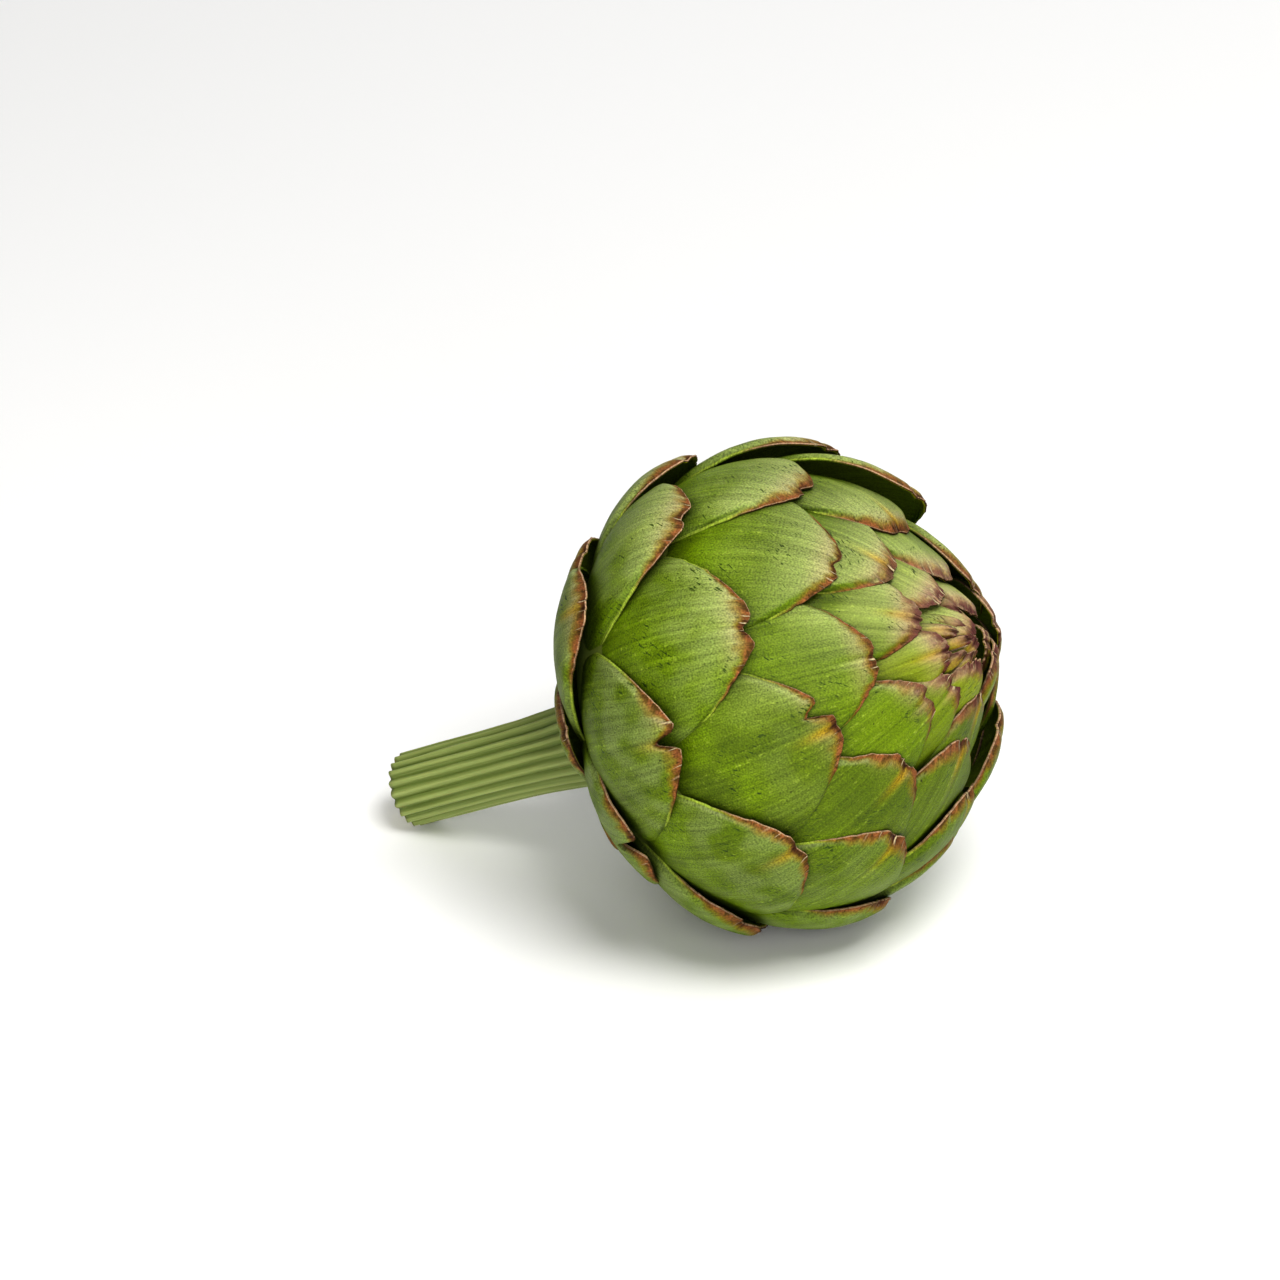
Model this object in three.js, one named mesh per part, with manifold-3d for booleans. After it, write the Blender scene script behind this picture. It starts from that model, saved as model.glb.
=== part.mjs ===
// A globe artichoke, cut with a short stalk and lying on its side.
// Millimetres, +Z up. The head's tip points to +X and a little up, the stalk's cut end to -X.
// The head rests on its pressed belly and on the low edge of the stalk's cut end.

import * as THREE from 'three';
import { mergeVertices } from 'three/addons/utils/BufferGeometryUtils.js';
import Module from 'manifold-3d';

// Head: a body of revolution about its own axis, on which the bract tips lie
const headRadius = 59;
const crownHeight = 52;
const baseDepth = 45.5;
const crownFullness = 1.9;
const baseFullness = 2.2;
const lastAngle = 0.93 * Math.PI;
const meridianSteps = 240;
const lean = THREE.MathUtils.degToRad(26.5);
const pointHeight = 7.5;
const pointReach = 18;
const centre = new THREE.Vector3(21.5, -0.3, 54.45);

// Bracts, numbered from the tip of the head outwards
const bractCount = 60;
const turnStep = 137.68;
const firstTurn = -31.6;
const tipStep = 0.41;
const tipPower = 1.435;
// The innermost are the smallest; they grow with their number, and the last few shrink again
const firstSize = 0.3;
const sizeGrowth = 0.0295;
const lastSize = 0.4;
const shrinkingBracts = 20;
const fullPast = 8;
const bractLength = 50;
const bractHalfWidth = 28;
const widestBelowTip = 40;
const outlinePower = 0.72;
const rootTaper = 0.12;
const shoulderShare = 0.8;
const layerSlope = 0.15;
const crownSlope = 0.3;
const crownBracts = 6;
const midThickness = 1.2;
const edgeThickness = 0.8;
const tipPress = 1.5;
const pressReach = 8;
const sidePress = 1.2;
const coreDepth = 3.8;

// The looser side of the head, turned from straight up, and how far its outer bracts stand off
const looseTurn = -70;
const looseSpread = 55;
const looseLift = 3;
const firstLooseBract = 6;
const lastTightBract = 18;
const firstBasalBract = 34;
const basalFade = 8;
const liftScatter = 0.6;
const liftReach = 44;
const tipCurl = 0.8;
const curlReach = 12;
const usualNotch = 1.2;
const notchWidth = 2.2;
const cleftWidth = 1.5;
// How finely a bract is faceted: across it from edge to edge, and up it from root to tip
const wideColumns = [-1, -0.62, -0.16, 0, 0.16, 0.62, 1];
const smallColumns = [-1, -0.55, 0, 0.55, 1];
const smallBract = 0.72;
const bractRows = [0, 0.5, 0.82, 1];

// Belly: the height at which its outer bracts are pressed flat, just under the table's plane,
// which then trims them to a true flat spot
const bellyLevel = -0.3;
const bellySoftness = 0.8;
const bellyTipZone = 14;
const bellyLayerSlope = 0.3;

// Stalk
const stalkRadius = 9;
const stalkCollar = 12.5;
const stalkRibs = 20;
const ribDepth = 0.55;
const stalkTop = -41;
const fitGap = 0.3;

const usualHabit = {
  lift: 0, curl: 1, nearSide: 0, farSide: 0, cleft: 0, offset: 0, turn: 0, slide: 0, wide: 1,
};

// What single bracts do: lift stands a bract off the head, curl is how much its end bends back,
// nearSide and farSide open one edge of it more, notch and cleft cut its end (cleft sits at
// offset from the middle), turn, slide and wide shift and scale it
const habits = {
  1: { wide: 0.85 },
  2: { turn: -14, slide: 3, lift: 1 },
  3: { turn: 3, slide: -1.5, wide: 0.85 },
  4: { lift: 1, turn: -14, slide: 2.5 },
  5: { lift: 0.5, turn: 22, slide: 1.5 },
  6: { turn: 3, slide: 4.5 },
  7: { lift: 2 },
  8: { turn: 15, slide: 4 },
  9: { turn: -10, slide: 3 },
  10: { lift: 3, turn: -8, slide: 4 },
  11: { slide: 3.5 },
  12: { turn: -10 },
  13: { turn: 9 },
  14: { turn: 9, slide: 1.5 },
  15: { lift: 1, turn: 3, slide: 1 },
  16: { slide: 3 },
  17: { turn: 10, slide: 1 },
  18: { turn: -2, slide: -5.5 },
  19: { turn: 3, slide: 1 },
  20: { lift: 5, curl: 0.6, turn: 4, slide: 2, farSide: -3 },
  21: { turn: -5, slide: -1 },
  22: { turn: 5 },
  23: { slide: -3 },
  24: { turn: -8, slide: -1.5 },
  25: { lift: 1.5, farSide: -1, turn: 9 },
  26: { lift: 5.5, curl: 0.4, turn: 2, nearSide: 1.5, farSide: -6 },
  27: { cleft: 6, offset: -5, turn: 2, slide: -2.5 },
  29: { notch: 3, turn: -6, slide: 1.5 },
  30: { slide: -3.5 },
  32: { notch: 3.5, turn: -2, slide: -1 },
  33: { lift: 1, farSide: -2, turn: -5, slide: -5 },
  34: { lift: 4, curl: 0.4, turn: -7, nearSide: -2, farSide: -4 },
  35: { notch: 2, turn: 7 },
  37: { lift: 1.5, notch: 3, turn: -4, slide: 3.5 },
  38: { farSide: -4, slide: -4 },
  40: { cleft: 6 },
  41: { farSide: -3 },
  42: { lift: 2.5, curl: 0.8, turn: -5, slide: 2.5, nearSide: -1 },
  43: { notch: 4, farSide: -3, turn: 5, slide: 4 },
  45: { lift: 4, wide: 0.95, turn: -6, slide: 6 },
  48: { cleft: 9, offset: 1, farSide: -5, turn: 3 },
  50: { nearSide: -4, farSide: -2 },
  51: { farSide: -3, turn: 13, slide: -8 },
  53: { nearSide: -4 },
};

const palette = {
  bract: { color: 0x78893a, roughness: 0.55, metalness: 0 },
  stalk: { color: 0x9aa75c, roughness: 0.6, metalness: 0 },
};

const degrees = THREE.MathUtils.degToRad;
const axis = new THREE.Vector3(Math.cos(lean), 0, Math.sin(lean));
const upAcross = new THREE.Vector3(-Math.sin(lean), 0, Math.cos(lean));
const frontAcross = new THREE.Vector3(0, -1, 0);

function seededDraw(seed) {
  let state = seed;
  return () => {
    state = (state * 1664525 + 1013904223) % 4294967296;
    return state / 4294967296;
  };
}

// The meridian from the apex to the base: distance along it, height on the axis and radius
function layMeridian() {
  const rows = [];
  let along = 0;
  for (let k = 0; k <= meridianSteps; k++) {
    const angle = (lastAngle * k) / meridianSteps;
    const inCrown = angle <= Math.PI / 2;
    const power = 2 / (inCrown ? crownFullness : baseFullness);
    const radius = headRadius * Math.pow(Math.sin(angle), power);
    let height = Math.pow(Math.abs(Math.cos(angle)), power) * (inCrown ? crownHeight : -baseDepth);
    if (inCrown) {
      height += pointHeight * Math.exp(-((radius / pointReach) ** 2));
    }
    if (k > 0) {
      along += Math.hypot(height - rows[k - 1].height, radius - rows[k - 1].radius);
    }
    rows.push({ along, height, radius });
  }
  return rows;
}

const meridian = layMeridian();
const meridianLength = meridian[meridian.length - 1].along;
const equatorAlong = meridian.find((row) => row.height <= 0).along;
const turnScale = equatorAlong / (Math.PI / 2);

function meridianAt(along) {
  const wanted = THREE.MathUtils.clamp(along, 0, meridianLength - 0.01);
  let k = meridian.findIndex((row) => row.along > wanted);
  k = Math.max(k, 1);
  const before = meridian[k - 1];
  const after = meridian[k];
  const share = (wanted - before.along) / (after.along - before.along);
  const height = THREE.MathUtils.lerp(before.height, after.height, share);
  const radius = THREE.MathUtils.lerp(before.radius, after.radius, share);
  const slopeStep = 2;
  const low = meridian[Math.max(k - slopeStep, 0)];
  const high = meridian[Math.min(k + slopeStep, meridian.length - 1)];
  const run = Math.hypot(high.height - low.height, high.radius - low.radius);
  const outwards = { height: (high.radius - low.radius) / run, radius: (low.height - high.height) / run };
  return { height, radius, outwards };
}

function headPoint(along, turn, offset) {
  const { height, radius, outwards } = meridianAt(along);
  const across = upAcross.clone().multiplyScalar(Math.cos(turn));
  across.addScaledVector(frontAcross, Math.sin(turn));
  const point = centre.clone().addScaledVector(axis, height + offset * outwards.height);
  return point.addScaledVector(across, radius + offset * outwards.radius);
}

// Presses what would lie below the level up to it, with a soft bend
function pressBelly(point, level) {
  const depth = point.z - level;
  point.z = level + 0.5 * (depth + Math.hypot(depth, bellySoftness));
  return point;
}

function bractPlan(number) {
  const draw = seededDraw(number * 7919 + 17);
  const habit = { ...usualHabit, notch: usualNotch * (1 + draw()), ...habits[number] };
  const tipAlong = tipStep * Math.pow(number, tipPower) + habit.slide;
  let turn = firstTurn + turnStep * number + habit.turn;
  turn -= 360 * Math.round(turn / 360);
  const inner = Math.min(1, firstSize + sizeGrowth * number);
  const basal = THREE.MathUtils.clamp((bractCount + fullPast - number) / shrinkingBracts, lastSize, 1);
  const size = Math.min(inner, basal);
  const loose = looseLift * Math.exp(-(((turn - looseTurn) / looseSpread) ** 2));
  const opened = (number - firstLooseBract) / (lastTightBract - firstLooseBract);
  const closed = THREE.MathUtils.clamp((number - firstBasalBract) / basalFade, 0, 1);
  const free = THREE.MathUtils.smoothstep(THREE.MathUtils.clamp(opened, 0, 1) * (1 - closed), 0, 1);
  return {
    tipAlong,
    turn: degrees(turn),
    length: Math.min(bractLength * (0.55 + 0.45 * size), meridianLength - tipAlong),
    halfWidth: bractHalfWidth * size * habit.wide,
    widest: widestBelowTip * (0.05 + 0.95 * size),
    curl: tipCurl * habit.curl,
    curlReach: curlReach * size,
    columns: size < smallBract ? smallColumns : wideColumns,
    press: tipPress * inner,
    slope: layerSlope + crownSlope * Math.exp(-number / crownBracts),
    lift: habit.lift + liftScatter * draw() + loose * free,
    nearSide: habit.nearSide,
    farSide: habit.farSide,
    notch: habit.notch * size,
    cleft: habit.cleft,
    cleftAt: habit.offset,
  };
}

// Half the width of a bract at a distance below its tip, and the inverse of it
function halfWidthBelow(plan, below) {
  if (below >= plan.widest) {
    const rest = (below - plan.widest) / Math.max(plan.length - plan.widest, 1);
    return plan.halfWidth * (1 - rootTaper * Math.min(rest, 1) ** 2);
  }
  return plan.halfWidth * Math.pow(1 - (1 - below / plan.widest) ** 2, outlinePower);
}

function edgeBelow(plan, across) {
  const share = Math.min(Math.abs(across) / plan.halfWidth, 1);
  return plan.widest * (1 - Math.sqrt(1 - Math.pow(share, 1 / outlinePower)));
}

// A point of a bract's middle surface, moved by side half thicknesses: u runs across it from
// edge to edge, v from its root to its tip
function bractPoint(plan, u, v, side) {
  const shoulder = shoulderShare * plan.halfWidth;
  const shoulderBelow = edgeBelow(plan, shoulder);
  const x = u * halfWidthBelow(plan, plan.length - v * (plan.length - shoulderBelow));
  let y = v * (plan.length - edgeBelow(plan, u * shoulder));
  const nearTip = v ** 5;
  y -= plan.notch * nearTip * Math.exp(-((x / notchWidth) ** 2));
  y -= plan.cleft * nearTip * Math.exp(-(((x - plan.cleftAt) / cleftWidth) ** 2));
  const below = plan.length - y;
  const edge = Math.max(Math.abs(u) ** 3, v ** 6);
  const curl = 1 - plan.curl * Math.exp(-((below / plan.curlReach) ** 2));
  const standing = plan.lift + (u > 0 ? plan.nearSide : plan.farSide) * u * u;
  const lift = standing * curl * Math.max(0, 1 - below / liftReach) ** 1.5;
  const press = plan.press * Math.exp(-((below / pressReach) ** 2)) + sidePress * u * u;
  const offset = lift - plan.slope * below - press;
  const thickness = THREE.MathUtils.lerp(midThickness, edgeThickness, edge);
  // Straight lines of the sheet follow great circles of the head
  const down = (plan.tipAlong + below) / turnScale;
  const aside = x / turnScale;
  const along = Math.acos(Math.cos(down) * Math.cos(aside)) * turnScale;
  const turn = plan.turn + Math.atan2(Math.sin(aside), Math.cos(aside) * Math.sin(down));
  const point = headPoint(along, turn, offset + (side * thickness) / 2);
  const layer = bellyLayerSlope * Math.max(0, below - bellyTipZone);
  return pressBelly(point, bellyLevel + layer + ((1 - side) * thickness) / 2);
}

const wasm = await Module();
wasm.setup();

function solidFrom(geometry) {
  const bare = geometry.clone();
  bare.deleteAttribute('normal');
  bare.deleteAttribute('uv');
  const merged = mergeVertices(bare, 1e-4);
  return new wasm.Manifold(new wasm.Mesh({
    numProp: 3,
    vertProperties: new Float32Array(merged.attributes.position.array),
    triVerts: new Uint32Array(merged.index.array),
  }));
}

// One bract as a closed blade: the same triangles on both faces and a strip round its edge
function bractSolid(plan) {
  const columns = plan.columns.length;
  const rows = bractRows.length;
  const positions = [];
  for (const side of [1, -1]) {
    for (const v of bractRows) {
      for (const u of plan.columns) {
        positions.push(...bractPoint(plan, u, v, side).toArray());
      }
    }
  }
  const at = (face, row, column) => face * rows * columns + row * columns + column;
  const faces = [];
  for (let row = 0; row < rows - 1; row++) {
    for (let column = 0; column < columns - 1; column++) {
      const [a, b] = [at(0, row, column), at(0, row, column + 1)];
      const [c, d] = [at(0, row + 1, column), at(0, row + 1, column + 1)];
      const under = rows * columns;
      faces.push(a, b, d, a, d, c);
      faces.push(a + under, d + under, b + under, a + under, c + under, d + under);
    }
  }
  const across = plan.columns.map((_, column) => column);
  const upwards = bractRows.map((_, row) => row);
  const rim = [
    ...across.slice(0, -1).map((column) => [0, column]),
    ...upwards.slice(0, -1).map((row) => [row, columns - 1]),
    ...across.slice(1).reverse().map((column) => [rows - 1, column]),
    ...upwards.slice(1).reverse().map((row) => [row, 0]),
  ];
  rim.forEach(([row, column], k) => {
    const [nextRow, nextColumn] = rim[(k + 1) % rim.length];
    const [a, b] = [at(0, row, column), at(0, nextRow, nextColumn)];
    const [c, d] = [at(1, row, column), at(1, nextRow, nextColumn)];
    faces.push(a, c, b, b, c, d);
  });
  const geometry = new THREE.BufferGeometry();
  geometry.setAttribute('position', new THREE.Float32BufferAttribute(positions, 3));
  geometry.setIndex(faces);
  return solidFrom(geometry);
}

// The fleshy middle that every bract's root is sunk in
function coreSolid() {
  const sides = 24;
  const rows = 12;
  const outline = [new THREE.Vector2(0, 0)];
  for (let k = 1; k < rows; k++) {
    outline.push(new THREE.Vector2(1, k));
  }
  outline.push(new THREE.Vector2(0, rows));
  const geometry = new THREE.LatheGeometry(outline, sides);
  const position = geometry.attributes.position;
  for (let k = 0; k < position.count; k++) {
    const row = position.getY(k);
    const turn = Math.atan2(position.getZ(k), position.getX(k));
    const along = (row / rows) * meridianLength;
    const onAxis = row === 0 || row === rows;
    const point = headPoint(along, turn, -coreDepth);
    if (onAxis) {
      const height = point.sub(centre).dot(axis);
      point.copy(centre).addScaledVector(axis, height);
    }
    pressBelly(point, bellyLevel + coreDepth);
    position.setXYZ(k, point.x, point.y, point.z);
  }
  return solidFrom(geometry);
}

// A stalk of ribbed round section along the head's axis, from height low to height high
function stalkSolid(low, high, extra) {
  const rows = 7;
  const sides = stalkRibs * 2;
  const outline = [new THREE.Vector2(0, 0)];
  for (let k = 0; k <= rows; k++) {
    outline.push(new THREE.Vector2(1, k));
  }
  outline.push(new THREE.Vector2(0, rows));
  const geometry = new THREE.LatheGeometry(outline, sides);
  const position = geometry.attributes.position;
  for (let k = 0; k < position.count; k++) {
    const share = position.getY(k) / rows;
    const height = THREE.MathUtils.lerp(low, high, share);
    const around = Math.atan2(position.getX(k), position.getZ(k));
    const flare = (stalkCollar - stalkRadius) * share ** 4;
    const onAxis = Math.hypot(position.getX(k), position.getZ(k)) < 0.5;
    const rib = ribDepth * 0.5 * Math.cos(around * stalkRibs);
    const radius = onAxis ? 0 : stalkRadius + flare + rib + extra;
    const point = centre.clone().addScaledVector(axis, height);
    point.addScaledVector(upAcross, radius * Math.cos(around));
    point.addScaledVector(frontAcross, radius * Math.sin(around));
    position.setXYZ(k, point.x, point.y, point.z);
  }
  return solidFrom(geometry);
}

// Keeps the largest outer skin, so sealed hollows are filled and loose scraps are dropped
function mainBody(solid) {
  const mesh = solid.getMesh();
  const count = mesh.numVert;
  const owner = Array.from({ length: count }, (_, k) => k);
  const find = (k) => {
    while (owner[k] !== k) {
      owner[k] = owner[owner[k]];
      k = owner[k];
    }
    return k;
  };
  const triangles = mesh.triVerts;
  for (let k = 0; k < triangles.length; k += 3) {
    owner[find(triangles[k])] = find(triangles[k + 1]);
    owner[find(triangles[k + 1])] = find(triangles[k + 2]);
  }
  const sizes = new Map();
  for (let k = 0; k < triangles.length; k += 3) {
    const root = find(triangles[k]);
    sizes.set(root, (sizes.get(root) ?? 0) + 1);
  }
  const [largest] = [...sizes].reduce((best, entry) => (entry[1] > best[1] ? entry : best));
  const positions = [];
  for (let k = 0; k < triangles.length; k += 3) {
    for (let corner = 0; corner < 3 && find(triangles[k]) === largest; corner++) {
      const at = triangles[k + corner] * mesh.numProp;
      positions.push(...mesh.vertProperties.slice(at, at + 3));
    }
  }
  const geometry = new THREE.BufferGeometry();
  geometry.setAttribute('position', new THREE.Float32BufferAttribute(positions, 3));
  return mergeVertices(geometry, 1e-5);
}

function namedMesh(name, solid, finish) {
  const geometry = mainBody(solid);
  geometry.computeVertexNormals();
  const mesh = new THREE.Mesh(geometry, new THREE.MeshStandardMaterial(finish));
  mesh.name = name;
  return mesh;
}

const table = new THREE.BoxGeometry(400, 400, 40);
table.translate(0, 0, -20);
const tableSolid = solidFrom(table);

// The stalk reaches back until the low edge of its cut end meets the table
const cutEnd = -(centre.z - stalkRadius * Math.cos(lean)) / Math.sin(lean);
const stalk = stalkSolid(cutEnd, stalkTop, 0).subtract(tableSolid);
const stalkRoom = stalkSolid(cutEnd, stalkTop + fitGap, fitGap);

let head = coreSolid();
for (let number = 1; number <= bractCount; number++) {
  head = head.add(bractSolid(bractPlan(number)));
}
head = head.subtract(stalkRoom).subtract(tableSolid);

const group = new THREE.Group();
group.add(namedMesh('head', head, palette.bract));
group.add(namedMesh('stem', stalk, palette.stalk));

export default group;
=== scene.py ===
import functools
import math

import bpy
from mathutils import Matrix, Vector


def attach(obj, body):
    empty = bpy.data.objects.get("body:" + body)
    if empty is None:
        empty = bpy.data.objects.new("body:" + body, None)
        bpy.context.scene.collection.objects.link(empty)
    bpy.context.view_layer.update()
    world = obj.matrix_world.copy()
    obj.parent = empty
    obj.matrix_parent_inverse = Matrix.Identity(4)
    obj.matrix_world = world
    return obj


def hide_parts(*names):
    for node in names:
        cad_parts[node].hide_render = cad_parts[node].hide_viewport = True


# Globe artichoke on its side: the bracts of the head, the heart they grow from and the cut stalk.
# Lengths in the dictionaries are millimetres, angles are degrees.

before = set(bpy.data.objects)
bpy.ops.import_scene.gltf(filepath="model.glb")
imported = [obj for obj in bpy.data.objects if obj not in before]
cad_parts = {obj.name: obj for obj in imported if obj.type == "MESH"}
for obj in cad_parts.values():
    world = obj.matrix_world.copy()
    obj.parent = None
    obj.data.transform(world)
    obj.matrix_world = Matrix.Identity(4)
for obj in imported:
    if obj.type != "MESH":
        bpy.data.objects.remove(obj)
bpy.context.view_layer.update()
mm = 0.001


def hexColor(code):
    channels = [int(code[k:k + 2], 16) / 255 for k in (1, 3, 5)]
    return [c / 12.92 if c <= 0.04045 else ((c + 0.055) / 1.055) ** 2.4 for c in channels] + [1.0]


def addNode(tree, kind, links=(), **settings):
    isMath = kind.isupper()               # MULTIPLY and the like are math nodes
    node = tree.nodes.new("ShaderNodeMath" if isMath else kind)
    if isMath:
        node.operation = kind
    for name, value in settings.items():
        setattr(node, name, value)
    for key, value in (links if isinstance(links, dict) else dict(enumerate(links))).items():
        if isinstance(value, bpy.types.Node):
            value = value.outputs[0]
        if isinstance(value, bpy.types.NodeSocket):
            tree.links.new(value, node.inputs[key])
        else:
            node.inputs[key].default_value = value
    return node


def addObject(name, data):
    item = bpy.data.objects.new(name, data)
    bpy.context.scene.collection.objects.link(item)
    return item


def product(add, values):
    return functools.reduce(lambda one, other: add("MULTIPLY", (one, other)), values)


def bell(add, value, reach):
    share = add("DIVIDE", (value, reach))
    return add("EXPONENT", (add("MULTIPLY", (add("MULTIPLY", (share, share)), -1.0)),))


def aroundAxis(add, radius, turn, height):
    return add("ShaderNodeCombineXYZ", (add("MULTIPLY", (radius, add("COSINE", (turn,)))),
                                        add("MULTIPLY", (radius, add("SINE", (turn,)))), height))


def layColors(add, look, base, layers):
    color = hexColor(look[base])
    for name, share in layers:
        color = add("ShaderNodeMix", {0: share, 6: color, 7: hexColor(look[name])},
                    data_type="RGBA").outputs[2]
    return color


# The head is a body of revolution on whose skin all bract tips lie.
head = {
    "radius": 59.0,
    "crownHeight": 52.0,
    "baseDepth": 45.5,
    "crownFullness": 1.9,
    "baseFullness": 2.2,
    "lean": 26.5,                 # the axis above the table
    "centre": (21.5, -0.3, 54.45),
    "pointHeight": 7.5,           # the crown draws out to a low point
    "pointReach": 18.0,
    "meridianSteps": 240,
    "lastAngle": 167.4,           # from the tip, where the skin meets the stalk
}

lean = math.radians(head["lean"])
headAxis = Vector((math.cos(lean), 0, math.sin(lean)))
upAcross = Vector((-math.sin(lean), 0, math.cos(lean)))
frontAcross = Vector((0, -1, 0))
headTurn = Matrix((upAcross, frontAcross, headAxis)).transposed()


def layMeridian():
    rows = []
    along = 0.0
    lastAngle = math.radians(head["lastAngle"])
    for k in range(head["meridianSteps"] + 1):
        angle = lastAngle * k / head["meridianSteps"]
        inCrown = angle <= math.pi / 2
        power = 2 / (head["crownFullness"] if inCrown else head["baseFullness"])
        tall = head["crownHeight"] if inCrown else -head["baseDepth"]
        height = abs(math.cos(angle)) ** power * tall
        radius = head["radius"] * math.sin(angle) ** power
        if inCrown:
            height += head["pointHeight"] * math.exp(-(radius / head["pointReach"]) ** 2)
        if rows:
            along += math.hypot(height - rows[-1][1], radius - rows[-1][2])
        rows.append((along, height, radius))
    return rows


meridian = layMeridian()
meridianLength = meridian[-1][0]
turnScale = next(along for along, height, radius in meridian if height <= 0) / (math.pi / 2)

# What every bract is: its place in the spiral, its size and its own habit.
bracts = {
    "count": 60,
    "perPiece": 20,
    "seed": 17,
    "seedStep": 7919,
    # place in the spiral
    "turnStep": 137.68,
    "firstTurn": -31.6,
    "tipStep": 0.41,              # times number ** tipPower, the end's way down from the tip
    "tipPower": 1.435,
    # the flat blade
    "length": 50.0,
    "halfWidth": 28.0,
    "widest": 40.0,               # below its end
    "outlinePower": 0.72,         # lower is a rounder end
    "shoulderShare": 0.8,
    "rootTaper": 0.12,
    "midThickness": 1.2,
    "edgeThickness": 0.7,
    # share of the full size, at the tip and at the base
    "firstSize": 0.3,
    "sizeStep": 0.0295,
    "lastSize": 0.4,
    "basalReach": 8,
    "basalSpan": 20,
    "lengthFloor": 0.55,          # small ones are less short than narrow
    "widestFloor": 0.05,
    # how it sinks between the others
    "layerSlope": 0.15,
    "crownSlope": 0.3,
    "crownBracts": 6,
    "tipPress": 0.6,
    "pressReach": 8.0,
    "sidePress": 1.6,
    # how it stands off the head, looser around one turn than elsewhere
    "liftReach": 44.0,
    "liftPower": 1.5,
    "liftDraw": 0.6,
    "looseLift": 3.0,
    "looseTurn": -70,
    "looseSpread": 55,
    "firstLoose": 6,
    "allLoose": 18,
    "firstBasal": 34,             # the basal ones lie close again
    "basalClose": 8,
    "tipCurl": 0.8,
    "curlReach": 12.0,
    # the notched and toothed end
    "notch": 1.2,
    "notchDraw": 1.2,
    "notchReach": 2.2,
    "cleftReach": 1.5,
    "endPower": 5.0,              # higher keeps the cuts closer to the end
    "tooth": 2.4,
    "smallTooth": 4.0,            # small ends are more ragged
    "smallSize": 0.75,
    "teethPerMm": 0.7,
    "toothStep": 7.3,             # how far the noise moves on from bract to bract
    # low relief
    "waveHeight": 1.0,
    "wavesAcross": 0.07,          # per mm
    "wavesAlong": 0.05,
    "waveStep": 3.7,
    "creaseDepth": 0.5,
    "creaseReach": (1.1, 9.0),    # across and along
    "edgeRoll": 1.0,
    "rollReach": 1.9,
}

# Lift stands a bract off the head, curl is how much its end bends back, nearSide and farSide
# open one edge of it more, notch and cleft cut its end, turn, slide and wide shift and scale it.
# The numbers between are the youngest ends, small and close between the first bracts.
habits = {
    0.2: {"wide": 0.42, "slide": 7.0, "curl": 0.6},
    0.45: {"wide": 0.40, "slide": 3.5, "lift": 0.5, "curl": 0.6},
    0.6: {"wide": 0.45, "slide": 6.5, "lift": 0.3, "curl": 0.6},
    0.75: {"wide": 0.38, "slide": 2.5, "lift": 0.8, "curl": 0.4},
    0.95: {"wide": 0.42, "slide": 6.0, "curl": 0.6},
    1.1: {"wide": 0.42, "slide": 3.5, "lift": 0.5, "curl": 0.6},
    1: {"wide": 0.85},
    2: {"turn": -14, "slide": 3, "lift": 1},
    3: {"turn": 3, "slide": -1.5, "wide": 0.85},
    4: {"lift": 1, "turn": -14, "slide": 2.5},
    5: {"lift": 0.5, "turn": 22, "slide": 1.5},
    6: {"turn": 3, "slide": 4.5},
    7: {"lift": 2.4, "curl": 0.5},
    8: {"turn": 15, "slide": 4},
    9: {"turn": -10, "slide": 3},
    10: {"lift": 3.4, "curl": 0.35, "turn": -8, "slide": 4},
    11: {"slide": 3.5},
    12: {"turn": -10},
    13: {"turn": 9},
    14: {"turn": 9, "slide": 1.5},
    15: {"lift": 1.4, "curl": 0.4, "turn": 3, "slide": 1},
    16: {"slide": 3},
    17: {"turn": 10, "slide": 1},
    18: {"lift": 0.5, "curl": 0.5, "turn": -2, "slide": -5.5},
    19: {"turn": 3, "slide": 1},
    20: {"lift": 5, "curl": 0.6, "turn": 4, "slide": 2, "farSide": -3},
    21: {"turn": -5, "slide": -1},
    22: {"turn": 5},
    23: {"slide": -3},
    24: {"turn": -8, "slide": -1.5},
    25: {"lift": 1.5, "farSide": -1, "turn": 9},
    26: {"lift": 5.5, "curl": 0.4, "turn": 2, "nearSide": 1.5, "farSide": -6},
    27: {"cleft": 6, "offset": -5, "turn": 2, "slide": -2.5},
    29: {"notch": 3, "turn": -6, "slide": 1.5},
    30: {"slide": -3.5},
    32: {"notch": 3.5, "turn": -2, "slide": -1},
    33: {"lift": 1, "farSide": -2, "turn": -5, "slide": -5},
    34: {"lift": 4, "curl": 0.4, "turn": -7, "nearSide": -2, "farSide": -4},
    35: {"notch": 2, "turn": 7},
    37: {"lift": 1.5, "notch": 3, "turn": -4, "slide": 3.5},
    38: {"farSide": -4, "slide": -4},
    40: {"cleft": 6},
    41: {"farSide": -3},
    42: {"lift": 2.5, "curl": 0.8, "turn": -5, "slide": 2.5, "nearSide": -1},
    43: {"notch": 4, "farSide": -3, "turn": 5, "slide": 4},
    45: {"lift": 4, "wide": 0.95, "turn": -6, "slide": 6},
    48: {"cleft": 9, "offset": 1, "farSide": -5, "turn": 3},
    50: {"nearSide": -4, "farSide": -2},
    51: {"farSide": -3, "turn": 13, "slide": -8},
    53: {"nearSide": -4},
}

belly = {"level": -0.3, "softness": 0.8, "tipZone": 14.0, "layerSlope": 0.3}


def seededDraw(seed):
    state = seed
    while True:
        state = (state * 1664525 + 1013904223) % 4294967296
        yield state / 4294967296


def clamped(value, low=0):
    return min(max(value, low), 1)


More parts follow.
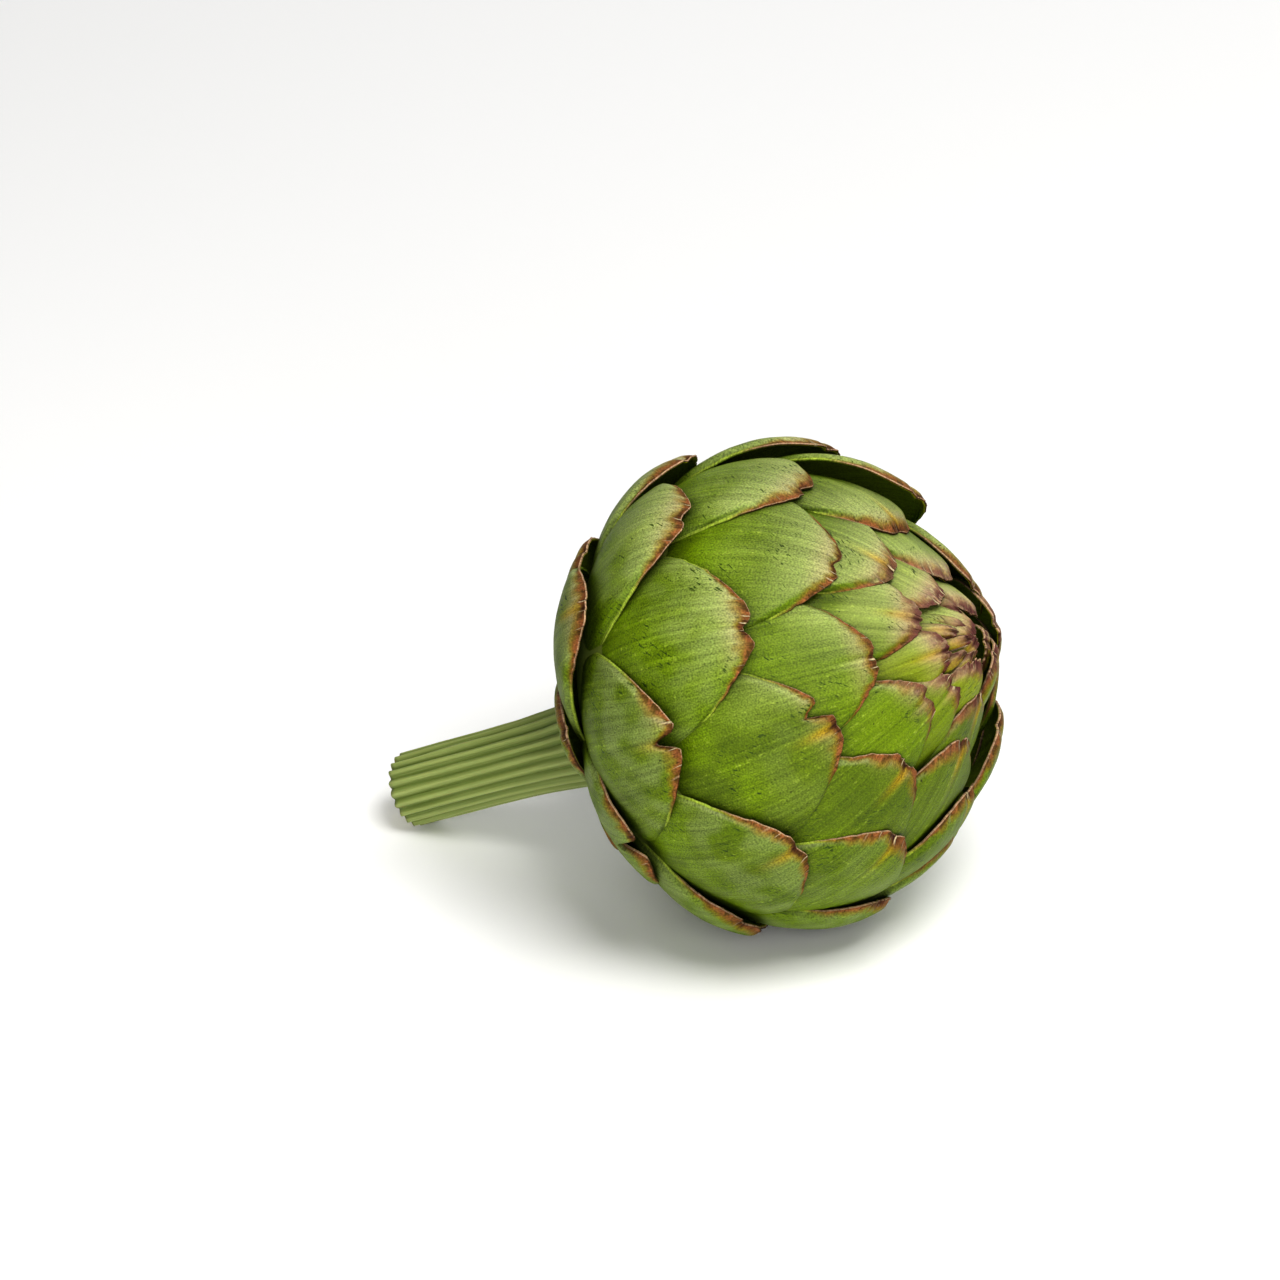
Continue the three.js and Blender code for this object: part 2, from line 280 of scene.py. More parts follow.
def bractPlan(number):
    draw = seededDraw(number * bracts["seedStep"] + bracts["seed"])
    habit = {"lift": 0, "notch": bracts["notch"] + bracts["notchDraw"] * next(draw), "cleft": 0,
             "offset": 0, "turn": 0, "slide": 0, "wide": 1, "curl": 1, "nearSide": 0, "farSide": 0}
    habit.update(habits.get(number, {}))
    tipAlong = bracts["tipStep"] * number ** bracts["tipPower"] + habit["slide"]
    turn = bracts["firstTurn"] + bracts["turnStep"] * number + habit["turn"]
    turn -= 360 * math.floor(turn / 360 + 0.5)
    inner = min(1, bracts["firstSize"] + bracts["sizeStep"] * number)
    basal = (bracts["count"] + bracts["basalReach"] - number) / bracts["basalSpan"]
    size = min(inner, clamped(basal, bracts["lastSize"]))
    away = (turn - bracts["looseTurn"]) / bracts["looseSpread"]
    loose = bracts["looseLift"] * math.exp(-away ** 2)
    opened = (number - bracts["firstLoose"]) / (bracts["allLoose"] - bracts["firstLoose"])
    closed = (number - bracts["firstBasal"]) / bracts["basalClose"]
    opened = clamped(opened) * (1 - clamped(closed))
    opened = opened * opened * (3 - 2 * opened)
    longer = bracts["lengthFloor"] + (1 - bracts["lengthFloor"]) * size
    lower = bracts["widestFloor"] + (1 - bracts["widestFloor"]) * size
    steeper = bracts["crownSlope"] * math.exp(-number / bracts["crownBracts"])
    return {
        "tipAlong": tipAlong,
        "turn": math.radians(turn),
        "length": min(bracts["length"] * longer, meridianLength - tipAlong),
        "halfWidth": bracts["halfWidth"] * size * habit["wide"],
        "widest": bracts["widest"] * lower,
        "curlSize": size,
        "curl": bracts["tipCurl"] * habit["curl"],
        "press": bracts["tipPress"] * inner,
        "slope": bracts["layerSlope"] + steeper,
        "lift": habit["lift"] + bracts["liftDraw"] * next(draw) + loose * opened,
        "notch": habit["notch"] * size,
        "tooth": bracts["tooth"] + bracts["smallTooth"] * max(0, 1 - size / bracts["smallSize"]),
        "cleft": habit["cleft"],
        "cleftAt": habit["offset"],
        "nearSide": habit["nearSide"],
        "farSide": habit["farSide"],
        "tone": next(draw),
        "number": number,
    }


def meshOf(name, points, faces=(), edges=()):
    mesh = bpy.data.meshes.new(name)
    mesh.from_pydata([tuple(p) for p in points], edges, faces)
    return addObject(name, mesh)


def keepValues(item, name, values):
    layer = item.data.attributes.new(name, "FLOAT", "POINT")
    layer.data.foreach_set("value", values)


# The flat blade that every bract is shaped from: two faces and a rounded rim. Each point knows
# how far across (u) and up (v) it is, which face it is on (side) and how far out on the rim.
blade = {
    "columns": 44, "rows": 40, "rimSides": (0.7, 0.0, -0.7),
    "middleCrowd": 1.4, "edgeCrowd": 0.8, "crowdReach": 0.08,      # columns
    "rootCrowd": 0.6, "tipCrowd": 2.2, "crowdPower": 3,            # rows
    "thinSides": 3, "thinEnd": 6,                                  # powers of u and v
}


def columnDensity(share):
    middle = math.exp(-((share - 0.5) / blade["crowdReach"]) ** 2)
    edge = math.exp(-(min(share, 1 - share) / blade["crowdReach"]) ** 2)
    return 1 + blade["middleCrowd"] * middle + blade["edgeCrowd"] * edge


def rowDensity(share):
    return blade["rootCrowd"] + blade["tipCrowd"] * share ** blade["crowdPower"]


def spread(count, density):
    steps = [1 / density((k + 0.5) / count) for k in range(count)]
    return [sum(steps[:k]) / sum(steps) for k in range(count + 1)]


def bladeTemplate():
    columns = spread(blade["columns"], columnDensity)
    rows = spread(blade["rows"], rowDensity)
    wide, tall = len(columns), len(rows)
    points, faces = [], []
    for side in (1, -1):
        points += [(2 * u - 1, v, side, 0) for v in rows for u in columns]
    under = wide * tall
    for row in range(tall - 1):
        for column in range(wide - 1):
            a = row * wide + column
            corners = [a, a + 1, a + wide + 1, a + wide]
            faces.append(corners)
            faces.append([under + c for c in reversed(corners)])
    rim = list(range(wide - 1))
    rim += [row * wide + wide - 1 for row in range(tall - 1)]
    rim += [(tall - 1) * wide + column for column in range(wide - 1, 0, -1)]
    rim += [row * wide for row in range(tall - 1, 0, -1)]
    rings = [rim]
    for side in blade["rimSides"]:
        rings.append([len(points) + k for k in range(len(rim))])
        points += [(*points[at][:2], side, math.sqrt(1 - side * side)) for at in rim]
    rings.append([under + at for at in rim])
    for upper, lower in zip(rings, rings[1:]):
        for k in range(len(rim)):
            after = (k + 1) % len(rim)
            faces.append([upper[k], lower[k], lower[after], upper[after]])
    item = meshOf("bladeTemplate", [p[:3] for p in points], faces)
    values = dict(zip(("u", "v", "side", "rim"), zip(*points)))
    shoulder, power = bracts["shoulderShare"], 1 / bracts["outlinePower"]
    values["drop"] = [1 - math.sqrt(1 - (abs(u) * shoulder) ** power) for u in values["u"]]
    edges = [max(abs(u) ** blade["thinSides"], v ** blade["thinEnd"])
             for u, v in zip(values["u"], values["v"])]
    values["thick"] = [bracts["midThickness"] * (1 - edge) + bracts["edgeThickness"] * edge
                       for edge in edges]
    for name, numbers in values.items():
        keepValues(item, name, numbers)
    return item


template = bladeTemplate()
meridianLine = meshOf("meridianLine", [(r, 0, h) for along, h, r in meridian],
                      edges=[(k, k + 1) for k in range(head["meridianSteps"])])


def startTree(name, objects, sizes):
    tree = bpy.data.node_groups.new(name, "GeometryNodeTree")
    face = tree.interface
    face.new_socket("Geometry", in_out="OUTPUT", socket_type="NodeSocketGeometry")
    face.new_socket("Geometry", in_out="INPUT", socket_type="NodeSocketGeometry")
    for label in objects:
        face.new_socket(label, in_out="INPUT", socket_type="NodeSocketObject")
    for label, value in sizes.items():
        face.new_socket(label, in_out="INPUT", socket_type="NodeSocketFloat").default_value = value
    add = functools.partial(addNode, tree)
    return tree, add, add("NodeGroupInput").outputs


def leanHead(add, shaped):
    return add("GeometryNodeTransform", {"Geometry": shaped, "Translation": Vector(head["centre"]),
                                         "Rotation": headTurn.to_euler()})


def endTree(add, shaped, finish):
    sized = add("GeometryNodeTransform", {"Geometry": shaped, "Scale": (mm, mm, mm)})
    smooth = add("GeometryNodeSetShadeSmooth", {"Geometry": sized})
    real = add("GeometryNodeRealizeInstances", {"Geometry": smooth})
    done = add("GeometryNodeSetMaterial", {"Geometry": real, "Material": finish})
    add("NodeGroupOutput", {"Geometry": done})


def bractTree(finish):
    tree, add, given = startTree("bractSpiral", ("Bract plans", "Meridian"), {
        "Lift reach": bracts["liftReach"],
        "Curl reach": bracts["curlReach"],
        "Press reach": bracts["pressReach"],
        "Side press": bracts["sidePress"],
        "Turn scale": turnScale,
        "Wave height": bracts["waveHeight"],
        "Crease depth": bracts["creaseDepth"],
        "Edge roll": bracts["edgeRoll"],
        "Roll reach": bracts["rollReach"],
    })
    names = ["u", "v", "side", "rim", "drop", "thick", *bractPlan(1)]
    own = {name: add("GeometryNodeInputNamedAttribute", {"Name": name}) for name in names}

    plans = add("GeometryNodeObjectInfo", {"Object": given["Bract plans"]})
    copies = add("GeometryNodeInstanceOnPoints", {"Points": plans.outputs["Geometry"],
                                                  "Instance": given["Geometry"]})
    blades = add("GeometryNodeRealizeInstances", {"Geometry": copies})

    # flat outline: x across, y up from the root
    shoulderDrop = 1 - math.sqrt(1 - bracts["shoulderShare"] ** (1 / bracts["outlinePower"]))
    topEdge = add("SUBTRACT", (own["length"], add("MULTIPLY", (own["widest"], own["drop"]))))
    smoothY = add("MULTIPLY", (own["v"], topEdge))
    sideTop = add("SUBTRACT", (own["length"], add("MULTIPLY", (own["widest"], shoulderDrop))))
    rowBelow = add("SUBTRACT", (own["length"], add("MULTIPLY", (own["v"], sideTop))))
    share = add("MINIMUM", (add("DIVIDE", (rowBelow, own["widest"])), 1.0))
    fromWidest = add("SUBTRACT", (1.0, share))
    swell = add("SUBTRACT", (1.0, add("MULTIPLY", (fromWidest, fromWidest))))
    swell = add("POWER", (swell, bracts["outlinePower"]))
    rootSpan = add("MAXIMUM", (add("SUBTRACT", (own["length"], own["widest"])), 1.0))
    rootShare = add("DIVIDE", (add("SUBTRACT", (rowBelow, own["widest"])), rootSpan))
    rootShare = add("POWER", (add("ShaderNodeClamp", {"Value": rootShare}), 2.0))
    taper = add("SUBTRACT", (1.0, add("MULTIPLY", (rootShare, bracts["rootTaper"]))))
    half = add("MULTIPLY", (add("MULTIPLY", (own["halfWidth"], swell)), taper))
    smoothX = add("MULTIPLY", (own["u"], half))

    # notch in the middle of the end, cleft beside it, and small dry teeth along the end
    nearTip = add("POWER", (own["v"], bracts["endPower"]))
    toothAt = add("ShaderNodeCombineXYZ", (add("MULTIPLY", (smoothX, bracts["teethPerMm"])),
                                           add("MULTIPLY", (own["number"], bracts["toothStep"]))))
    teeth = add("ShaderNodeTexNoise", {"Vector": toothAt, "Scale": 1.0, "Detail": 3.0,
                                       "Roughness": 0.65})
    toothed = add("MULTIPLY", (add("SUBTRACT", (teeth, 0.5)), own["tooth"]))
    notchFall = bell(add, smoothX, bracts["notchReach"])
    cleftFall = bell(add, add("SUBTRACT", (smoothX, own["cleftAt"])), bracts["cleftReach"])
    cut = add("MULTIPLY_ADD", (own["notch"], notchFall, add("MULTIPLY", (own["cleft"], cleftFall))))
    cut = add("MULTIPLY", (add("SUBTRACT", (cut, toothed)), nearTip))
    rimOut = add("MULTIPLY", (add("MULTIPLY", (own["rim"], own["thick"])), 0.5))
    y = add("MULTIPLY_ADD", (rimOut, nearTip, add("SUBTRACT", (smoothY, cut))))
    outward = add("MULTIPLY", (own["u"], add("ABSOLUTE", (own["u"],))))
    x = add("MULTIPLY_ADD", (outward, rimOut, smoothX))
    below = add("SUBTRACT", (own["length"], y))

    # distance to the edge, for the dry margin
    topGap = add("SUBTRACT", (add("SUBTRACT", (topEdge, cut)), y))
    sideGap = add("MULTIPLY", (half, add("SUBTRACT", (1.0, add("ABSOLUTE", (own["u"],))))))
    toEdge = add("MAXIMUM", (add("MINIMUM", (topGap, sideGap)), 0.0))

    # how far the sheet stands off the skin of the head
    free = add("SUBTRACT", (1.0, add("DIVIDE", (below, given["Lift reach"]))))
    free = add("POWER", (add("MAXIMUM", (free, 0.0)), bracts["liftPower"]))
    curlFall = bell(add, below, add("MULTIPLY", (given["Curl reach"], own["curlSize"])))
    curl = add("SUBTRACT", (1.0, add("MULTIPLY", (own["curl"], curlFall))))
    nearOpen = add("POWER", (add("MAXIMUM", (own["u"], 0.0)), 2.0))
    farOpen = add("POWER", (add("MINIMUM", (own["u"], 0.0)), 2.0))
    standing = add("MULTIPLY_ADD", (own["nearSide"], nearOpen, own["lift"]))
    standing = add("MULTIPLY_ADD", (own["farSide"], farOpen, standing))
    lift = product(add, (standing, curl, free))
    press = add("MULTIPLY", (own["press"], bell(add, below, given["Press reach"])))
    press = add("MULTIPLY_ADD", (given["Side press"], add("POWER", (own["u"], 2.0)), press))
    waveAt = add("ShaderNodeCombineXYZ", (add("MULTIPLY", (x, bracts["wavesAcross"])),
                                          add("MULTIPLY", (below, bracts["wavesAlong"])),
                                          add("MULTIPLY", (own["number"], bracts["waveStep"]))))
    wave = add("ShaderNodeTexNoise", {"Vector": waveAt, "Scale": 1.0, "Detail": 2.0})
    wave = add("MULTIPLY", (add("SUBTRACT", (wave, 0.5)), given["Wave height"]))
    creaseAcross, creaseAlong = bracts["creaseReach"]
    crease = product(add, (given["Crease depth"], bell(add, x, creaseAcross),
                           bell(add, below, creaseAlong)))
    roll = add("MULTIPLY", (given["Edge roll"], bell(add, toEdge, given["Roll reach"])))
    offset = add("MULTIPLY_ADD", (add("MULTIPLY", (own["side"], own["thick"])), 0.5, lift))
    offset = add("ADD", (offset, wave))
    for sunk in (add("MULTIPLY", (own["slope"], below)), press, crease, roll):
        offset = add("SUBTRACT", (offset, sunk))

    # wrapped on the head along great circles
    down = add("DIVIDE", (add("ADD", (own["tipAlong"], below)), given["Turn scale"]))
    aside = add("DIVIDE", (x, given["Turn scale"]))
    along = add("ARCCOSINE", (add("MULTIPLY", (add("COSINE", (down,)), add("COSINE", (aside,)))),))
    along = add("MULTIPLY", (along, given["Turn scale"]))
    turned = add("MULTIPLY", (add("COSINE", (aside,)), add("SINE", (down,))))
    turned = add("ARCTAN2", (add("SINE", (aside,)), turned))
    turn = add("ADD", (own["turn"], turned))
    line = add("GeometryNodeObjectInfo", {"Object": given["Meridian"]})
    line = add("GeometryNodeMeshToCurve", {"Mesh": line.outputs["Geometry"]})
    onLine = add("GeometryNodeSampleCurve", {"Curves": line, "Length": along},
                 mode="LENGTH", use_all_curves=True)
    at = add("ShaderNodeSeparateXYZ", (onLine.outputs["Position"],))
    way = add("ShaderNodeSeparateXYZ", (onLine.outputs["Tangent"],))
    radius = add("SUBTRACT", (at.outputs["X"], add("MULTIPLY", (way.outputs["Z"], offset))))
    height = add("MULTIPLY_ADD", (way.outputs["X"], offset, at.outputs["Z"]))
    place = aroundAxis(add, radius, turn, height)

    shaped = blades
    for name, value in (("across", smoothX), ("below", below), ("toEdge", toEdge)):
        shaped = add("GeometryNodeStoreNamedAttribute",
                     {"Geometry": shaped, "Name": name, "Value": value},
                     data_type="FLOAT", domain="POINT")
    leaned = leanHead(add, add("GeometryNodeSetPosition", {"Geometry": shaped, "Position": place}))

    # the belly lies flat on the table
    spot = add("ShaderNodeSeparateXYZ", (add("GeometryNodeInputPosition"),))
    keptBelow = add("GeometryNodeInputNamedAttribute", {"Name": "below"})
    layer = add("MAXIMUM", (add("SUBTRACT", (keptBelow, belly["tipZone"])), 0.0))
    level = add("MULTIPLY_ADD", (layer, belly["layerSlope"], belly["level"]))
    under = add("MULTIPLY", (add("SUBTRACT", (1.0, own["side"])), own["thick"]))
    level = add("MULTIPLY_ADD", (under, 0.5, level))
    depth = add("SUBTRACT", (spot.outputs["Z"], level))
    bend = add("SQRT", (add("MULTIPLY_ADD", (depth, depth, belly["softness"] ** 2)),))
    pressed = add("MULTIPLY_ADD", (add("ADD", (depth, bend)), 0.5, level))
    flat = add("ShaderNodeCombineXYZ", {"X": spot.outputs["X"], "Y": spot.outputs["Y"],
                                        "Z": add("MAXIMUM", (pressed, 0.0))})
    lying = add("GeometryNodeSetPosition", {"Geometry": leaned, "Position": flat})
    endTree(add, lying, finish)
    return tree


def makeReal(name, source, tree, inputs):
    holder = addObject(name, source.data)
    modifier = holder.modifiers.new("shape", "NODES")
    modifier.node_group = tree
    sockets = {s.name: s.identifier for s in tree.interface.items_tree if s.in_out == "INPUT"}
    for label, value in inputs.items():
        modifier[sockets[label]] = value
    bpy.context.view_layer.update()
    evaluated = holder.evaluated_get(bpy.context.evaluated_depsgraph_get())
    mesh = bpy.data.meshes.new_from_object(evaluated)
    mesh.name = name
    holder.modifiers.clear()
    holder.data = mesh
    return holder


def startMaterial(name):
    material = bpy.data.materials.new(name)
    material.use_nodes = True
    material.node_tree.nodes.clear()
    return material, functools.partial(addNode, material.node_tree)


skinLook = {
    # the bloom, pale bloom and dust colours are laid as painted sheen where the skin faces up, and
    # the rim colour as a painted highlight on edges that face up
    "green": "#5a6d09", "deepGreen": "#2f4405", "freshGreen": "#6a8500", "bloom": "#98a55c",
    "paleBloom": "#b9c182", "felt": "#7c8a50", "dusty": "#b89a80", "youngYellow": "#86901a",
    "flush": "#66323a", "streak": "#a8860c", "olive": "#78600a", "slit": "#30160a",
    "marginPink": "#885230", "margin": "#43250e", "rim": "#cba886", "plum": "#542a2a",
    "crack": "#c9b890", "sideLine": "#9cb03c", "scuff": "#30420e", "speck": "#24270d",
    "inside": "#66791c", "insideTip": "#9a9a14",
    "marginWidth": 1.9, "sideMargin": 0.2, "leastMargin": 0.15,    # mm
    "marginSpread": 3.4, "marginShift": -0.85,
    "roughness": 0.52, "roughSpread": 0.16, "dryRoughness": 0.8, "gloss": 0.14,
    "youngGrain": 0.6, "grownGrain": 0.6, "fibre": 1.3, "fibreShift": 0.35,
    # painted shade in the folds between bracts: its reach in mm, its power and its floor
    "paintedShadeReach": 9.0, "paintedShadePower": 2.0, "paintedShadeFloor": 0.3,
    "relief": {"ribbing": 0.30, "fibre": 0.10, "grain": 0.18, "fleck": 0.10},    # mm
    "crackRelief": 0.7, "bump": 0.6,
    "slant": 0.9, "bractStep": 17.0,    # radians, and mm between the noises of two bracts
    "depthWeight": 0.1, "depthRadius": (0.5, 1.0, 0.15), "depthScale": 2.0,
}

# Noises over the blade: the coordinates they read, then cycles per mm across and along, detail.
skinNoises = {
    "ribbing": ("fan", 0.9, 0.02, 3.0),
    "fibre": ("fan", 1.0, 0.03, 3.0),
    "cracks": ("fan", 0.7, 0.05, 2.0),
    "grain": ("flat", 2.5, 2.0, 0.0),
    "fleck": ("flat", 0.8, 0.6, 2.0),
    "dots": ("flat", 0.9, 0.7, 1.0),
    "char": ("flat", 0.42, 0.30, 2.0),
    "edge": ("flat", 0.24, 0.10, 2.0),
    "patch": ("flat", 0.11, 0.09, 1.0),
    "cloud": ("flat", 0.06, 0.045, 3.0),
    "strokes": ("slant", 0.35, 1.6, 1.0),
}

# Bell-shaped falls: what each reads, where it is full, and its reach in mm.
skinFalls = {
    "atTip": (("below", 0.0, 8.0),),
    "middle": (("across", 0.0, 8.0),),
    "streak": (("across", 0.0, 1.3), ("below", 3.0, 6.0)),
    "notched": (("across", 0.0, 3.0), ("below", 1.0, 4.5)),
    "slit": (("across", 0.0, 0.45), ("below", 1.5, 2.6)),
}

# Ramps: what each reads, where it starts and ends, and its strength. Below is mm from the tip,
# inMargin is 1 at the inner side of the dry margin, number counts the bracts from the tip.
skinRamps = {
    # greens
    "cloudDark": ("cloud", 0.60, 0.36, 0.3),
    "cloudLight": ("cloud", 0.40, 0.64, 1.0),
    "toned": ("tone", 0.9, 0.1, 0.4),
    "covered": ("below", 15.0, 34.0, 0.85),
    "young": ("number", 13.0, 3.0, 0.6),
    "ribLight": ("ribbing", 0.48, 0.68, 1.0),
    "ribDark": ("ribbing", 0.50, 0.34, 0.8),
    "fleckLight": ("fleck", 0.50, 0.68, 0.5),
    "fleckDark": ("fleck", 0.52, 0.36, 0.32),
    "grown": ("number", 6.0, 24.0, 1.0),
    # bloom and dust with painted sheen where they face up, and felt
    # facing masks: how far the skin's normal turns up, for painted sheen and the painted rim
    # highlight
    "upward": ("facing", 0.2, 1.0, 0.35),
    "lit": ("facing", 0.35, 1.0, 0.45),
    "skyward": ("facing", -0.1, 0.75, 1.0),
    "open": ("below", 40.0, 18.0, 1.0),
    "outer": ("number", 20.0, 42.0, 0.6),
    "feltPatch": ("patch", 0.62, 0.36, 1.0),
    "bloomEnd": ("below", 26.0, 4.0, 1.0),
    "endDust": ("below", 11.0, 1.0, 0.5),
    # flush and plum of the crown
    "crown": ("number", 26.0, 10.0, 0.9),
    "endFlush": ("below", 8.0, 1.5, 1.0),
    "blotch": ("char", 0.46, 0.60, 1.0),
    "apex": ("number", 20.0, 8.0, 1.0),
    "crownEnd": ("below", 6.0, 1.5, 1.0),
    "torn": ("char", 0.40, 0.54, 0.9),
    # scuffs, specks and streaks
    "strokeLine": ("strokes", 0.56, 0.66, 1.0),
    "scuffed": ("patch", 0.53, 0.63, 1.0),
    "dotted": ("dots", 0.40, 0.52, 1.0),
    "speck": ("dots", 0.70, 0.78, 0.85),
    "marked": ("cloud", 0.50, 0.60, 1.0),
    "toneHigh": ("tone", 0.35, 0.75, 0.85),
    # pale line along the covered edge
    "sideEdge": ("toEdge", 0.8, 0.3, 0.8),
    "farDown": ("below", 7.0, 13.0, 1.0),
    # dry margin
    "fade": ("inMargin", 4.0, 0.4, 0.85),
    "margin": ("inMargin", 1.7, 0.2, 0.9),
    "scorch": ("inMargin", 1.5, 0.2, 0.9),
    "pinkish": ("char", 0.34, 0.56, 1.0),
    "burnt": ("char", 0.58, 0.40, 0.9),
    "nearEnd": ("below", 15.0, 6.0, 1.0),
    "slitted": ("tone", 0.45, 0.55, 0.9),
    # inner face, rim and cracks
    "under": ("side", 0.0, -0.9, 1.0),
    "underEnd": ("below", 8.0, 1.5, 0.9),
    "rimOut": ("rim", 0.2, 0.9, 0.85),
    "crackLine": ("cracks", 0.612, 0.645, 0.9),
    "crackShade": ("cracks", 0.555, 0.592, 0.9),
    "crackEdge": ("toEdge", 2.6, 0.8, 1.0),
}

# Layers over the green, from the first laid on: the colour, and the masks whose product is how
# much of it shows.
skinLayers = (
    ("deepGreen", "cloudDark"),
    ("freshGreen", "toned"),
    ("freshGreen", "covered", "cloudLight"),
    ("youngYellow", "young"),
    ("deepGreen", "ribDark", "fleckDark"),
    ("sideLine", "ribLight", "fleckLight"),
    # painted sheen: bloom where the skin faces up
    ("bloom", "upward", "cloudLight", "open"),
    ("felt", "outer", "feltPatch", "open"),
    # painted highlight: pale sheen on upper faces near the end
    ("paleBloom", "lit", "bloomEnd"),
    # pale dust on the ends, with painted sheen: only where they face up
    ("dusty", "endDust", "skyward"),
    ("flush", "crown", "endFlush", "blotch"),
    ("flush", "young", "endFlush", "ribLight"),
    ("scuff", "strokeLine", "scuffed", "dotted"),
    ("speck", "speck", "marked"),
    ("streak", "streak", "toneHigh"),
    ("sideLine", "sideEdge", "farDown"),
    ("olive", "fade", "nearEnd"),
    ("marginPink", "margin", "nearEnd", "pinkish"),
    ("margin", "scorch", "nearEnd", "burnt"),
    ("margin", "scorch", "notched"),
    # pale dust on the crown's ends, with painted sheen: only where they face up
    ("dusty", "apex", "endDust", "skyward"),
    ("plum", "apex", "crownEnd", "torn"),
    ("slit", "slit", "slitted"),
    ("inside", "under"),
    ("insideTip", "under", "underEnd"),
    ("margin", "rimOut", "nearEnd"),
    # painted highlight: pale rim on edges that face up, while below it the rim keeps the dark
    # margin
    ("rim", "rimOut", "nearEnd", "skyward"),
    ("slit", "crackShade", "crackEdge", "atTip", "middle"),
    ("crack", "crackLine", "crackEdge", "atTip", "middle"),
)


# Fresh artichoke bract: tough waxy skin with a soft gloss, fine ribbing that fans towards the
# end, a felt-like grain, a pale bloom where it lay open to the light and pale dust on the ends,
# both with painted sheen where they face up, a dry margin from pink to scorched brown with short
# cracks and a painted highlight on the upper rim, and plum ends on the crown. Painted shade
# darkens the folds between bracts.
def bractFinish():
    material, add = startMaterial("waxyBractSkin")
    names = ("across", "below", "toEdge", "rim", "side", "number", "tone", "halfWidth", "u")
    read = {name: add("ShaderNodeAttribute", attribute_name=name).outputs["Fac"] for name in names}
    apart = add("MULTIPLY", (read["number"], skinLook["bractStep"]))
    fanned = add("MULTIPLY", (read["u"], read["halfWidth"]))
    places = {
        "fan": add("ShaderNodeCombineXYZ", (fanned, read["below"], apart)),
        "flat": add("ShaderNodeCombineXYZ", (read["across"], read["below"], apart)),
    }
    places["slant"] = add("ShaderNodeVectorRotate",
                          {"Vector": places["flat"], "Angle": skinLook["slant"]},
                          rotation_type="Z_AXIS")
    for name, (place, across, along, detail) in skinNoises.items():
        stretched = add("ShaderNodeVectorMath", (places[place], (across, along, 1.0)),
                        operation="MULTIPLY")
        read[name] = add("ShaderNodeTexNoise", {"Vector": stretched, "Scale": 1.0, "Detail": detail,
                                                "Roughness": 0.6})
    normal = add("ShaderNodeNewGeometry").outputs["Normal"]
    read["facing"] = add("ShaderNodeSeparateXYZ", (normal,)).outputs["Z"]

    masks = {}
    for name, parts in skinFalls.items():
        masks[name] = product(add, [bell(add, add("SUBTRACT", (read[source], centre)), reach)
                                    for source, centre, reach in parts])
    width = add("MULTIPLY_ADD", (masks["atTip"], skinLook["marginWidth"], skinLook["sideMargin"]))
    uneven = add("MULTIPLY_ADD", (read["edge"], skinLook["marginSpread"], skinLook["marginShift"]))
    width = add("MAXIMUM", (add("MULTIPLY", (width, uneven)), skinLook["leastMargin"]))
    read["inMargin"] = add("DIVIDE", (read["toEdge"], width))
    for name, (source, low, high, strength) in skinRamps.items():
        masks[name] = add("ShaderNodeMapRange", (read[source], low, high, 0.0, strength),
                          interpolation_type="SMOOTHSTEP")
    color = layColors(add, skinLook, "green", [(name, product(add, [masks[part] for part in parts]))
                                               for name, *parts in skinLayers])

    # lighter and darker by the grain and the fibres, and painted shade: ambient occlusion darkens
    # the folds between bracts
    grain = add("MULTIPLY_ADD", (masks["grown"], skinLook["grownGrain"], skinLook["youngGrain"]))
    grain = add("MULTIPLY", (add("SUBTRACT", (read["grain"], 0.5)), grain))
    fibre = add("MULTIPLY_ADD", (read["fibre"], skinLook["fibre"], skinLook["fibreShift"]))
    paintedShade = add("ShaderNodeAmbientOcclusion", {"Distance": skinLook["paintedShadeReach"] * mm}, samples=4)
    paintedShade = add("POWER", (paintedShade.outputs["AO"], skinLook["paintedShadePower"]))
    paintedShade = add("MULTIPLY_ADD", (paintedShade, 1 - skinLook["paintedShadeFloor"], skinLook["paintedShadeFloor"]))
    paintedShade = add("MAXIMUM", (paintedShade, masks["under"]))
    shade = add("MULTIPLY", (add("ADD", (grain, fibre)), paintedShade))
    color = add("ShaderNodeVectorMath", {0: color, "Scale": shade}, operation="SCALE")

    drier = skinLook["dryRoughness"] - skinLook["roughness"]
    rough = add("MULTIPLY_ADD", (add("SUBTRACT", (read["grain"], 0.5)), skinLook["roughSpread"],
                                 skinLook["roughness"]))
    rough = add("MULTIPLY_ADD", (masks["margin"], drier, rough))
    relief = product(add, (read["cracks"], masks["margin"], skinLook["crackRelief"]))
    for name, depth in skinLook["relief"].items():
        relief = add("MULTIPLY_ADD", (read[name], depth, relief))
    bump = add("ShaderNodeBump", {"Height": relief, "Distance": mm, "Strength": skinLook["bump"]})
    shader = add("ShaderNodeBsdfPrincipled", {
        "Base Color": color, "Roughness": rough, "Normal": bump,
        "Specular IOR Level": skinLook["gloss"],
        "Subsurface Weight": skinLook["depthWeight"],
        "Subsurface Radius": skinLook["depthRadius"],
        "Subsurface Scale": skinLook["depthScale"] * mm})
    add("ShaderNodeOutputMaterial", {"Surface": shader})
    return material


